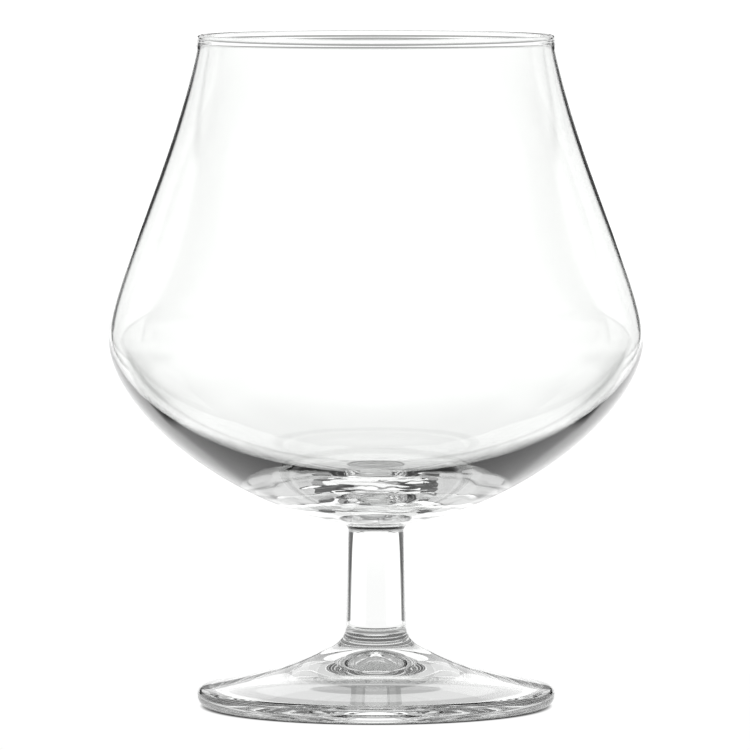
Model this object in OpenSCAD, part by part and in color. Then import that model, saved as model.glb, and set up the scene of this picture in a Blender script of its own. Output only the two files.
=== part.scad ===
// Brandy snifter in clear glass: a wide thin-walled bowl on a short solid stem and a spread foot.
// The bowl, the stem and the foot are three pieces that are joined hot, flat face to flat face.
// Millimetres, +Z up, with the origin at the middle of the ring that the foot rests on.

/* [Bowl] */
// Height of the bowl, from the joint with the stem to the top of the rim
bowl_h = 90.2; // [80:0.2:105]
// Outer diameter of the rim
rim_d = 64.8; // [58:0.2:72]
// Thickness of the rounded rim
rim_t = 1.1; // [0.9:0.05:1.5]
// Height over which the wall swells into the rim
rim_roll_h = 1.4; // [0.8:0.1:2.4]
// Lean of the wall at the rim, in degrees from upright
rim_lean = 10.8; // [5:0.2:15]
// Thickness of the wall below the rim
wall_t = 0.9; // [0.7:0.05:1.2]
// Outer diameter of the bowl at its widest ring
belly_d = 97.2; // [90:0.2:106]
// Height of the widest ring above the joint with the stem
belly_h = 35.5; // [32:0.5:42]
// Thickness of the wall at the widest ring
belly_t = 0.8; // [0.7:0.05:1.4]
// Thickness of the solid bottom, over the joint with the stem
floor_t = 6.7; // [6:0.1:12]
// Slope of the underside where it runs in to the stem, in degrees
under_slope = 9.7; // [4:0.1:14]
// Radius of the fillet between the underside and the stem
neck_fillet_r = 1.5; // [0.8:0.1:2.4]

/* [Stem] */
// Length of the stem between its two joints
stem_h = 20.9; // [16:0.1:40]
// Diameter of the stem at the joint with the bowl
stem_top_d = 10.1; // [8:0.1:12]
// Taper of the stem, in degrees on each side
stem_taper = 1.3; // [0:0.1:2]
// Radius of the flare that spreads the stem onto the foot
stem_flare_r = 4.4; // [3:0.1:6]

/* [Foot] */
// Diameter of the foot
foot_d = 65; // [58:0.2:72]
// Height of the foot at the joint with the stem
foot_h = 10.9; // [9:0.1:13]
// Slope of the foot's top at the joint with the stem, in degrees
crown_slope = 28; // [22:0.5:34]
// Slope of the foot's top at its edge, in degrees
brim_slope = 10.8; // [7:0.2:13]
// Height of the edge, where the top begins to round over
edge_h = 3.45; // [3.2:0.05:4]
// Radius of the edge's upper rounding
edge_top_r = 1.2; // [0.8:0.05:1.4]
// Radius of the edge's lower rounding
edge_bottom_r = 1.9; // [1.4:0.05:2.2]
// Width of the flat ring that the foot rests on
rest_ring_w = 1.1; // [0.6:0.1:2.4]
// Thickness of the foot at its middle, between the stem and the hollow
crown_t = 3.8; // [3:0.1:6]

/* [Hidden] */

// Clear glass, a little green and half see-through
glass_colour = [0.86, 0.92, 0.9, 0.45];

// Pull of each curve's ends: a share of the height or the width that the curve spans
belly_rise_share = 0.187;
rim_pull_share = 0.418;
belly_fall_share = 0.404;
under_pull_share = 0.465;
inner_fall_share = 0.39;
floor_pull_share = 0.58;
roll_pull_share = 0.5;
crown_pull_share = 0.31;
brim_pull_share = 0.6;
hollow_rise_share = 0.56;
hollow_top_share = 0.12;

// Straight steps along each curve and each rounding, and round the axis
curve_steps = 36;
round_steps = 12;
$fn = 180;

// Places of the joints above the table
stem_z = foot_h;
bowl_z = foot_h + stem_h;

// Direction of an angle, from the outward axis towards +Z
function way(angle) = [cos(angle), sin(angle)];

// Points of a cubic curve from one end to the other, with a handle at each end
function curve(start, start_handle, end_handle, end, steps = curve_steps) =
    [for (i = [0 : steps])
        let (t = i / steps, s = 1 - t)
        s * s * s * start + 3 * s * s * t * start_handle + 3 * s * t * t * end_handle + t * t * t * end];

// Points of an arc about a centre, from one angle to another
function rounding(centre, radius, start_angle, end_angle) =
    [for (i = [0 : round_steps])
        centre + radius * way(start_angle + (end_angle - start_angle) * i / round_steps)];

// The same points in the other order, and without their first or last point
function turned(points) = [for (i = [len(points) - 1 : -1 : 0]) points[i]];
function but_first(points) = [for (i = [1 : len(points) - 1]) points[i]];
function but_last(points) = [for (i = [0 : len(points) - 2]) points[i]];

// One stretch of points after another, where each starts at the point that the last one ends at
function chain(stretches, i = 0) =
    i == len(stretches) - 1 ? stretches[i] : concat(but_last(stretches[i]), chain(stretches, i + 1));

// The bowl's wall, seen in section: up the outside, over the rim and down the inside
belly_r = belly_d / 2;
stem_top_r = stem_top_d / 2;
wall_up = way(90 + rim_lean);
wall_out = way(rim_lean);
rim_centre = [rim_d / 2 - rim_t / 2, bowl_h - rim_t / 2];
wall_top = rim_centre - wall_up * rim_roll_h;
roll_pull = wall_up * rim_roll_h * roll_pull_share;
rim_rise = wall_top[1] - belly_h;

// The fillet leaves the stem upright and runs out along the underside
neck_centre = [stem_top_r + neck_fillet_r, 0];
neck_end = neck_centre + neck_fillet_r * way(90 + under_slope);
under_drop = belly_h - neck_end[1];
under_run = belly_r - neck_end[0];

// A stretch of the upper wall, from the widest ring to the top of the wall
function upper_wall(ring_r, top) =
    curve([ring_r, belly_h], [ring_r, belly_h + rim_rise * belly_rise_share],
        top - wall_up * rim_rise * rim_pull_share, top);

// The swelling of the wall on one side of the rim: side is 1 outside and -1 inside
function rim_roll(side) =
    let (start = wall_top + side * wall_out * wall_t / 2, end = rim_centre + side * wall_out * rim_t / 2)
    curve(start, start + roll_pull, end - roll_pull, end, round_steps);

bowl_outside = chain([
    [[0, 0], [stem_top_r, 0]],
    turned(rounding(neck_centre, neck_fillet_r, 90 + under_slope, 180)),
    curve(neck_end, neck_end + under_run * under_pull_share * way(under_slope),
        [belly_r, belly_h - under_drop * belly_fall_share], [belly_r, belly_h]),
    upper_wall(belly_r, wall_top + wall_out * wall_t / 2),
    rim_roll(1),
    rounding(rim_centre, rim_t / 2, rim_lean, 180 + rim_lean)]);

inner_r = belly_r - belly_t;
floor_drop = belly_h - floor_t;
bowl_inside = chain([
    turned(rim_roll(-1)),
    turned(upper_wall(inner_r, wall_top - wall_out * wall_t / 2)),
    curve([inner_r, belly_h], [inner_r, belly_h - floor_drop * inner_fall_share],
        [inner_r * floor_pull_share, floor_t], [0, floor_t])]);

// The stem's side, seen in section: up the flare and the taper
flare_top_z = stem_flare_r * (cos(crown_slope) - sin(stem_taper));
stem_low_r = stem_top_r + (stem_h - flare_top_z) * tan(stem_taper);
flare_centre = [stem_low_r + stem_flare_r * cos(stem_taper), stem_flare_r * cos(crown_slope)];
flare = rounding(flare_centre, stem_flare_r, 270 - crown_slope, 180 + stem_taper);
crown_r = flare[0][0];

// The foot, seen in section: along the hollow, round the edge and up the dome
foot_r = foot_d / 2;
rest_r = foot_r - edge_bottom_r;
hollow_r = rest_r - rest_ring_w;
hollow_h = foot_h - crown_t;
edge_bottom = rounding([rest_r, edge_bottom_r], edge_bottom_r, -90, 0);
edge_top = rounding([foot_r - edge_top_r, edge_h - edge_top_r], edge_top_r, 0, 90 - brim_slope);
brim = edge_top[round_steps];
dome_run = brim[0] - crown_r;
hollow = curve([0, hollow_h], [hollow_r * hollow_top_share, hollow_h],
    [hollow_r * (1 - hollow_rise_share), hollow_h * hollow_rise_share], [hollow_r, 0]);
dome = curve(brim, brim + dome_run * brim_pull_share * way(180 - brim_slope),
    [crown_r, foot_h] + dome_run * crown_pull_share * way(-crown_slope), [crown_r, foot_h]);

// A solid of clear glass, turned about the upright axis from its section
module turned_glass(section) {
    color(glass_colour)
        rotate_extrude()
            polygon(section);
}

module bowl() {
    translate([0, 0, bowl_z])
        turned_glass(concat(bowl_outside, but_first(bowl_inside)));
}

module stem() {
    translate([0, 0, stem_z])
        turned_glass(concat([[0, 0]], flare, [[stem_top_r, stem_h], [0, stem_h]]));
}

module foot() {
    turned_glass(concat(hollow, edge_bottom, edge_top, but_first(dome), [[0, foot_h]]));
}

bowl();
stem();
foot();
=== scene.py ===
import math

import bpy
import numpy as np
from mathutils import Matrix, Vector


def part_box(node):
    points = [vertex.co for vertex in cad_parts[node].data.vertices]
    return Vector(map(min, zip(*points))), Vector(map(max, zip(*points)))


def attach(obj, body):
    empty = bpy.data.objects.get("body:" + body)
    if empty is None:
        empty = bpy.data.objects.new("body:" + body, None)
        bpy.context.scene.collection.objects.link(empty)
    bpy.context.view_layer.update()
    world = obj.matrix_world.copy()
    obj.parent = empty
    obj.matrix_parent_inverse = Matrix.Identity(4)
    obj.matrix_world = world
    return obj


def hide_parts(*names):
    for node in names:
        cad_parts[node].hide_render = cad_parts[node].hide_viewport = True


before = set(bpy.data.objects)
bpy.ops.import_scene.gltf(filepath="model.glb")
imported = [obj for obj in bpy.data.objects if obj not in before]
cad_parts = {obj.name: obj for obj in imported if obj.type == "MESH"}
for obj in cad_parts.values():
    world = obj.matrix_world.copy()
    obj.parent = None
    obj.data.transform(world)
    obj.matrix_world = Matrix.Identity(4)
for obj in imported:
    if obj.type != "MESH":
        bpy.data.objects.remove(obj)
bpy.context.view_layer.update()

# Clear soda-lime glass: how it bends and tints light, and its faint waves and haze
GLASS_IOR = 1.52
GLASS_TINT = (0.985, 0.992, 0.985, 1.0)
GLASS_BOUNCES = 24
GLASS_REFLECTIONS = 12
GLASS_WAVE_SCALE = 45
GLASS_WAVE_DEPTH = 0.00001
GLASS_HAZE_SCALE = 130
GLASS_HAZE = 0.0035

# Ripples that pressing left on the bowl's floor: length, depth, and how they sway round the axis
RIPPLE_RADIUS = 0.027
RIPPLE_FADE = 0.008
RIPPLES = (
    {"length": 0.0062, "depth": 0.000012, "sways": 3, "sway": 1.4, "start": 0.6},
    {"length": 0.0035, "depth": 0.000006, "sways": 5, "sway": 1.9, "start": 2.1},
)

# The turned pieces: steps round the axis, steps along a section, and the bend that counts as a corner
TURN_STEPS = 192
SECTION_STEP = 0.0006
CORNER_ANGLE = math.radians(20)
SAME_POINT = 1e-6

# A turned mesh begins with the lower and the upper end of its axis, before its rings of points
AXIS_POINTS = 2

# The photograph's camera, a little above the rim and looking down on the glass
IMAGE_SIZE = 750
CAMERA_AWAY = 1.45
CAMERA_ASIDE = 0.00018
CAMERA_HEIGHT = 0.1601
CAMERA_TILT = math.radians(3.94)
FOCAL_PIXELS = 8004
SENSOR_WIDTH = 36

# The table: pale grey, with a soft shadow on either side that is narrower near the glass
FLOOR_Z = -0.0001
TABLE_RADIUS = 2.4
TABLE_RINGS = 280
TABLE_SPOKES = 360
TABLE_INNER_RING = 0.003
TABLE_GREY = 0.5
SHADOW_DARK = 0.06
SHADOW_AWAY = math.radians(65)
SHADOW_SPREAD = math.radians(21)
SHADOW_NEAR_AWAY = math.radians(60)
SHADOW_NEAR_SPREAD = math.radians(9)
SHADOW_SOFTNESS = math.radians(10)
SHADOW_WIDE_FROM = 0.2
SHADOW_WIDENING = 0.05
SHADOW_REACH = 0.37
SHADOW_FADE = 0.2

# The pool of white light on the table, which spreads to the back, and the brighter glow on its two sides
WHITE = 1.2
WHITE_NEAR = 1.01
WHITE_FROM = 0.27
WHITE_SOFTNESS = 0.25
GLOW = 1.45
GLOW_AWAY = math.radians(32)
GLOW_SPREAD = math.radians(16)
GLOW_SOFTNESS = math.radians(8)
GLOW_FROM = 0.08
GLOW_RISE = 0.03
GLOW_REACH = 0.45
GLOW_FADE = 0.3
POOL_HALF_WIDTH = 0.083
POOL_SPREAD = 1.05
POOL_FRONT = -0.1
POOL_FRONT_SOFTNESS = 0.05
POOL_SOFTNESS = 0.016
POOL_SOFTENING = 0.5
POOL_SOFTER_FROM = 0.1

# A narrow dark line of painted shade on the table on either side of the white, and a band of dimmer
# painted grey light beyond it
OUTER_PAINTED_GREY = 0.75
PAINTED_LINE_SHADE = 0.03
PAINTED_LINE_START = 0.125
PAINTED_LINE_SPREAD = 0.28
PAINTED_LINE_WIDTH = 0.09
PAINTED_LINE_SOFTNESS = 0.015

# Upright sheets round the table: white light at the back, and grey wings and a grey wall beside it
BACK_AWAY = 2.4
BACK_STEPS = 24

# Each sheet's angles from straight back in degrees, the heights of its edges, and its strength
BACK_SHEETS = (
    {"name": "back_low", "edges": (-18, 18), "heights": (FLOOR_Z, 0.19), "strength": WHITE},
    {"name": "back_middle", "edges": (-8, 8), "heights": (0.19, 0.4), "strength": 0.4},
    {"name": "light_low", "edges": (-20, 20), "heights": (0.4, 1.56), "strength": 1.2},
    {"name": "light_high", "edges": (-12, 12), "heights": (1.56, 2.46), "strength": 0.54},
    {"name": "wing_right", "edges": (25.5, 45), "heights": (FLOOR_Z, 1.56), "strength": 0.75},
    {"name": "wing_left", "edges": (-25.5, -45), "heights": (FLOOR_Z, 1.56), "strength": 0.75},
    {"name": "side_right", "edges": (45, 60), "heights": (FLOOR_Z, 0.66), "strength": 0.65},
    {"name": "side_left", "edges": (-45, -60), "heights": (FLOOR_Z, 0.66), "strength": 0.65},
    {"name": "side_wall", "edges": (62, 298), "heights": (FLOOR_Z, 0.5), "strength": 0.38},
)

# The room's grey at each elevation in degrees: dark near the floor and again below the top
ROOM_GREYS = ((6, 0.05), (11, 0.4), (44, 0.4), (52, 0.05), (68, 0.05), (76, 0.4))

# The light on the table under the foot and behind it, where the glass gathers it or holds it off
SHADE_MIDDLE = 0.3
SHADE_GATHERED = 0.65
SHADE_EDGE = 0.02
SHADE_RING = 1.0
SHADE_INNER = 0.4
SHADE_BEHIND = 0.15
GATHERED_FROM = 0.012
GATHERED_TO = 0.022
RING_FROM = 0.027
RING_TO = 0.0287
SHADE_RADIUS = 0.0315
BEHIND_RADIUS = 0.05
BEHIND_FADE = 0.006
BEHIND_SPREAD = math.radians(31)
BEHIND_SOFTNESS = math.radians(8)
SHADE_SOFTNESS = 0.001


def seam_of(mesh):
    """The points (radius, height) on the seam of a turned mesh, and which of them are joined to each."""
    points = np.array([v.co for v in mesh.vertices])
    on_seam = (abs(points[:, 1]) < SAME_POINT) & (points[:, 0] > -SAME_POINT)
    places = {}
    of_vertex = {}
    for i in np.flatnonzero(on_seam):
        key = tuple(np.round(points[i][[0, 2]] / SAME_POINT).astype(int))
        of_vertex[i] = places.setdefault(key, len(places))
    spots = np.array(list(places), dtype=float) * SAME_POINT
    near = {i: set() for i in range(len(spots))}
    for edge in mesh.edges:
        a, b = (of_vertex.get(i) for i in edge.vertices)
        if a is not None and b is not None and a != b:
            near[a].add(b)
            near[b].add(a)
    return spots, near


def section_of(node):
    """The node's section, as points (radius, height) from its lower end on the axis to its upper end."""
    spots, near = seam_of(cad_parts[node].data)
    ends = [i for i in near if len(near[i]) == 1]
    walk = [min(ends, key=lambda i: (spots[i][1], spots[i][0]))]
    while True:
        onward = [i for i in near[walk[-1]] if len(walk) == 1 or i != walk[-2]]
        if not onward:
            break
        walk.append(onward[0])
    section = spots[walk]
    if section[0][0] > SAME_POINT:
        section = np.vstack([[0, section[0][1]], section])
    if section[-1][0] > SAME_POINT:
        section = np.vstack([section, [0, section[-1][1]]])
    return section


def smooth(section):
    """The same section with more points, on a smooth curve between its corners."""
    steps = np.diff(section, axis=0)
    ways = steps / np.linalg.norm(steps, axis=1)[:, None]
    bends = np.arccos(np.clip((ways[1:] * ways[:-1]).sum(axis=1), -1, 1))
    sharp = np.concatenate([[True], bends > CORNER_ANGLE, [True]])
    lengths = np.linalg.norm(steps, axis=1)
    out = [section[:1]]
    for i, length in enumerate(lengths):
        start_way = ways[i] if sharp[i] else blend_ways(ways[i - 1], ways[i], lengths[i - 1], length)
        end_way = ways[i] if sharp[i + 1] else blend_ways(ways[i], ways[i + 1], length, lengths[i + 1])
        t = np.linspace(0, 1, max(1, round(length / SECTION_STEP)) + 1)[1:, None]
        a, b = section[i], section[i + 1]
        out.append(
            (2 * t**3 - 3 * t**2 + 1) * a + (t**3 - 2 * t**2 + t) * length * start_way
            + (3 * t**2 - 2 * t**3) * b + (t**3 - t**2) * length * end_way
        )
    return np.clip(np.vstack(out), section.min(axis=0), section.max(axis=0))


def blend_ways(before, after, before_length, after_length):
    """The direction of a curve at a point, from the steps on either side of it."""
    way = before * after_length + after * before_length
    return way / np.linalg.norm(way)


def turn(name, section, glass, fused):
    """A closed solid of glass, turned about the upright axis from its section."""
    rings = section[1:-1]
    angles = np.arange(TURN_STEPS) * 2 * math.pi / TURN_STEPS
    around = np.stack([np.cos(angles), np.sin(angles)], axis=1)
    points = [np.column_stack([r * around, np.full(TURN_STEPS, z)]) for r, z in rings]
    verts = np.vstack([[[0, 0, section[0][1]], [0, 0, section[-1][1]]], *points])
    faces = []
    for j in range(TURN_STEPS):
        k = (j + 1) % TURN_STEPS
        column = [AXIS_POINTS + i * TURN_STEPS for i in range(len(rings))]
        faces.append((0, column[0] + k, column[0] + j))
        faces += [(low + j, low + k, high + k, high + j) for low, high in zip(column, column[1:])]
        faces.append((1, column[-1] + j, column[-1] + k))
    mesh = bpy.data.meshes.new(name)
    mesh.from_pydata(verts.tolist(), [], faces)
    mesh.materials.append(glass)
    mesh.materials.append(fused)
    mesh.shade_smooth()
    mesh.set_sharp_from_angle(angle=CORNER_ANGLE)
    piece = bpy.data.objects.new(name, mesh)
    bpy.context.scene.collection.objects.link(piece)
    return piece


def ripple(piece, section):
    """Adds the ripples to the floor inside the bowl."""
    inside = section[:, 1].argmax()
    for vertex in piece.data.vertices[AXIS_POINTS + (inside - 1) * TURN_STEPS:]:
        r = math.hypot(vertex.co.x, vertex.co.y)
        angle = math.atan2(vertex.co.y, vertex.co.x)
        fade = ease(RIPPLE_RADIUS - r, 0, RIPPLE_FADE)
        for wave in RIPPLES:
            sway = wave["sway"] * math.sin(wave["sways"] * angle + wave["start"])
            vertex.co.z += fade * wave["depth"] * math.sin(2 * math.pi * r / wave["length"] + sway)


def fuse(piece, *heights):
    """Gives the flat joints at these heights the seam of fused glass."""
    for face in piece.data.polygons:
        levels = [piece.data.vertices[i].co.z for i in face.vertices]
        if any(max(abs(z - height) for z in levels) < SAME_POINT for height in heights):
            face.material_index = 1


def glass_material():
    """Clear glass with the faint waves and haze of machine-made glass."""
    material = bpy.data.materials.new("clear_glass")
    material.use_nodes = True
    tree = material.node_tree
    shader = tree.nodes["Principled BSDF"]
    shader.inputs["Base Color"].default_value = GLASS_TINT
    shader.inputs["Transmission Weight"].default_value = 1
    shader.inputs["IOR"].default_value = GLASS_IOR
    place = tree.nodes.new("ShaderNodeTexCoord")
    waves = noise_node(tree, place, GLASS_WAVE_SCALE)
    bump = tree.nodes.new("ShaderNodeBump")
    bump.inputs["Distance"].default_value = GLASS_WAVE_DEPTH
    tree.links.new(waves.outputs["Fac"], bump.inputs["Height"])
    tree.links.new(bump.outputs["Normal"], shader.inputs["Normal"])
    haze = noise_node(tree, place, GLASS_HAZE_SCALE)
    depth = tree.nodes.new("ShaderNodeMapRange")
    depth.inputs["To Max"].default_value = GLASS_HAZE
    tree.links.new(haze.outputs["Fac"], depth.inputs["Value"])
    tree.links.new(depth.outputs["Result"], shader.inputs["Roughness"])
    return material


def noise_node(tree, place, scale):
    """Soft noise that is fixed to the glass."""
    noise = tree.nodes.new("ShaderNodeTexNoise")
    noise.inputs["Scale"].default_value = scale
    tree.links.new(place.outputs["Object"], noise.inputs["Vector"])
    return noise


def fused_material():
    """The seam inside fused glass, which light goes straight through."""
    material = bpy.data.materials.new("fused_seam")
    material.use_nodes = True
    shader = material.node_tree.nodes["Principled BSDF"]
    shader.inputs["Base Color"].default_value = GLASS_TINT
    shader.inputs["Alpha"].default_value = 0
    return material


def lit_material(name):
    """A white surface that shines as brightly as its mesh says."""
    material = bpy.data.materials.new(name)
    material.use_nodes = True
    tree = material.node_tree
    tree.nodes.clear()
    strength = tree.nodes.new("ShaderNodeAttribute")
    strength.attribute_name = "strength"
    light = tree.nodes.new("ShaderNodeEmission")
    output = tree.nodes.new("ShaderNodeOutputMaterial")
    tree.links.new(strength.outputs["Fac"], light.inputs["Strength"])
    tree.links.new(light.outputs["Emission"], output.inputs["Surface"])
    return material


def lit_surface(name, points, faces, strengths):
    """A surface of the studio, with the brightness of each of its points."""
    mesh = bpy.data.meshes.new(name)
    mesh.from_pydata(points.tolist(), [], faces)
    strength = mesh.attributes.new("strength", "FLOAT", "POINT")
    strength.data.foreach_set("value", strengths.astype(np.float32))
    mesh.materials.append(lit_material(name))
    piece = bpy.data.objects.new(name, mesh)
    bpy.context.scene.collection.objects.link(piece)


def ease(value, centre, softness):
    """Rises softly from 0 to 1 where a value passes a centre."""
    t = np.clip((value - centre) / softness + 0.5, 0, 1)
    return t * t * (3 - 2 * t)


def side_shadow(r, angle):
    """How much of each point lies in the soft shadow on its side of the glass."""
    wide = ease(r, SHADOW_WIDE_FROM, SHADOW_WIDENING)
    away = SHADOW_NEAR_AWAY + (SHADOW_AWAY - SHADOW_NEAR_AWAY) * wide
    spread = SHADOW_NEAR_SPREAD + (SHADOW_SPREAD - SHADOW_NEAR_SPREAD) * wide
    return ease(spread - abs(angle - away), 0, SHADOW_SOFTNESS) * ease(SHADOW_REACH - r, 0, SHADOW_FADE)


def pool_share(x, y):
    """How much of each point lies in the pool of white light."""
    half_width = np.maximum(POOL_HALF_WIDTH, POOL_SPREAD * np.maximum(y, 0))
    softness = POOL_SOFTNESS + POOL_SOFTENING * np.maximum(y - POOL_SOFTER_FROM, 0)
    return ease(half_width - abs(x), 0, softness) * ease(y, POOL_FRONT, POOL_FRONT_SOFTNESS)


def pool_light(x, y, r, angle):
    """The brightness of the pool: white with a glow on its two sides, then painted shade lines and
    dimmer grey.
    """
    white = WHITE_NEAR + (WHITE - WHITE_NEAR) * ease(r, WHITE_FROM, WHITE_SOFTNESS)
    glow = ease(GLOW_SPREAD - abs(angle - GLOW_AWAY), 0, GLOW_SOFTNESS)
    glow *= ease(r, GLOW_FROM, GLOW_RISE) * ease(GLOW_REACH - r, 0, GLOW_FADE)
    white += (GLOW - white) * glow
    back = np.maximum(y, 0)
    # A dark line of painted shade between the white and a dimmer painted grey light further out
    line_from = PAINTED_LINE_START + PAINTED_LINE_SPREAD * back
    outer_from = line_from + PAINTED_LINE_WIDTH * back
    light = OUTER_PAINTED_GREY + (PAINTED_LINE_SHADE - OUTER_PAINTED_GREY) * ease(outer_from - abs(x), 0, PAINTED_LINE_SOFTNESS)
    return light + (white - light) * ease(line_from - abs(x), 0, PAINTED_LINE_SOFTNESS)


def shade_foot(light, r, angle):
    """Adds the light and shade round the foot to the table, from behind the foot to its middle."""
    behind = ease(BEHIND_RADIUS - r, 0, BEHIND_FADE) * ease(BEHIND_SPREAD - angle, 0, BEHIND_SOFTNESS)
    light += (SHADE_BEHIND - light) * behind
    rings = (
        (SHADE_RADIUS, SHADE_EDGE),
        (RING_TO, SHADE_RING),
        (RING_FROM, SHADE_INNER),
        (GATHERED_TO, SHADE_GATHERED),
        (GATHERED_FROM, SHADE_MIDDLE),
    )
    for radius, shade in rings:
        light += (shade - light) * ease(radius - r, 0, SHADE_SOFTNESS)


def table_light(x, y):
    """The brightness of the table: its soft shadows, the white pool and the shade of the foot."""
    r = np.hypot(x, y)
    # From straight back, to either side
    angle = abs(np.arctan2(x, y))
    light = TABLE_GREY + (SHADOW_DARK - TABLE_GREY) * side_shadow(r, angle)
    light += (pool_light(x, y, r, angle) - light) * pool_share(x, y)
    shade_foot(light, r, angle)
    return light


def build_table():
    """The round table that the glass stands on."""
    radii = np.geomspace(TABLE_INNER_RING, TABLE_RADIUS, TABLE_RINGS)
    angles = np.arange(TABLE_SPOKES) * 2 * math.pi / TABLE_SPOKES
    x = np.concatenate([[0], np.outer(radii, np.cos(angles)).ravel()])
    y = np.concatenate([[0], np.outer(radii, np.sin(angles)).ravel()])
    faces = []
    for j in range(TABLE_SPOKES):
        k = (j + 1) % TABLE_SPOKES
        faces.append((0, 1 + j, 1 + k))
        for low in range(1, 1 + (TABLE_RINGS - 1) * TABLE_SPOKES, TABLE_SPOKES):
            high = low + TABLE_SPOKES
            faces.append((low + j, high + j, high + k, low + k))
    points = np.column_stack([x, y, np.full(len(x), FLOOR_Z)])
    lit_surface("table", points, faces, table_light(x, y))


def build_sheet(name, edges, heights, strength):
    """An upright lit sheet round the table, between two angles from straight back."""
    angles = np.linspace(*np.radians(edges), BACK_STEPS)
    points = [(BACK_AWAY * math.sin(a), BACK_AWAY * math.cos(a), z) for a in angles for z in heights]
    faces = [(i, i + 1, i + 3, i + 2) for i in range(0, len(points) - 2, 2)]
    lit_surface(name, np.array(points), faces, np.full(len(points), strength))


def build_room():
    """The room round the table, and how far light is followed through the glass."""
    world = bpy.data.worlds.new("room")
    world.use_nodes = True
    tree = world.node_tree
    place = tree.nodes.new("ShaderNodeTexCoord")
    split = tree.nodes.new("ShaderNodeSeparateXYZ")
    ramp = tree.nodes.new("ShaderNodeValToRGB")
    tree.links.new(place.outputs["Generated"], split.inputs["Vector"])
    tree.links.new(split.outputs["Z"], ramp.inputs["Fac"])
    tree.links.new(ramp.outputs["Color"], tree.nodes["Background"].inputs["Color"])
    stops = ramp.color_ramp.elements
    while len(stops) < len(ROOM_GREYS):
        stops.new(1)
    for stop, (elevation, grey) in zip(stops, ROOM_GREYS):
        stop.position = math.sin(math.radians(elevation))
        stop.color = (grey, grey, grey, 1)
    scene = bpy.context.scene
    scene.world = world
    scene.view_settings.view_transform = "Standard"
    scene.cycles.max_bounces = GLASS_BOUNCES
    scene.cycles.transmission_bounces = GLASS_BOUNCES
    scene.cycles.glossy_bounces = GLASS_REFLECTIONS


def build_camera():
    """The camera where the photograph was taken from."""
    data = bpy.data.cameras.new("photo_camera")
    data.sensor_width = SENSOR_WIDTH
    data.lens = FOCAL_PIXELS / IMAGE_SIZE * SENSOR_WIDTH
    camera = bpy.data.objects.new("photo_camera", data)
    bpy.context.scene.collection.objects.link(camera)
    camera.location = (-CAMERA_ASIDE, -CAMERA_AWAY, CAMERA_HEIGHT)
    camera.rotation_euler = (math.pi / 2 - CAMERA_TILT, 0, 0)
    bpy.context.scene.camera = camera


glass = glass_material()
fused = fused_material()
stem_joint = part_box("bowl")[0].z
foot_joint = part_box("stem")[0].z
for node in ("bowl", "stem", "foot"):
    section = smooth(section_of(node))
    piece = turn("snifter_" + node, section, glass, fused)
    fuse(piece, stem_joint, foot_joint)
    if node == "bowl":
        ripple(piece, section)
    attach(piece, "root")
    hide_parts(node)
build_table()
for sheet in BACK_SHEETS:
    build_sheet(**sheet)
build_room()
build_camera()
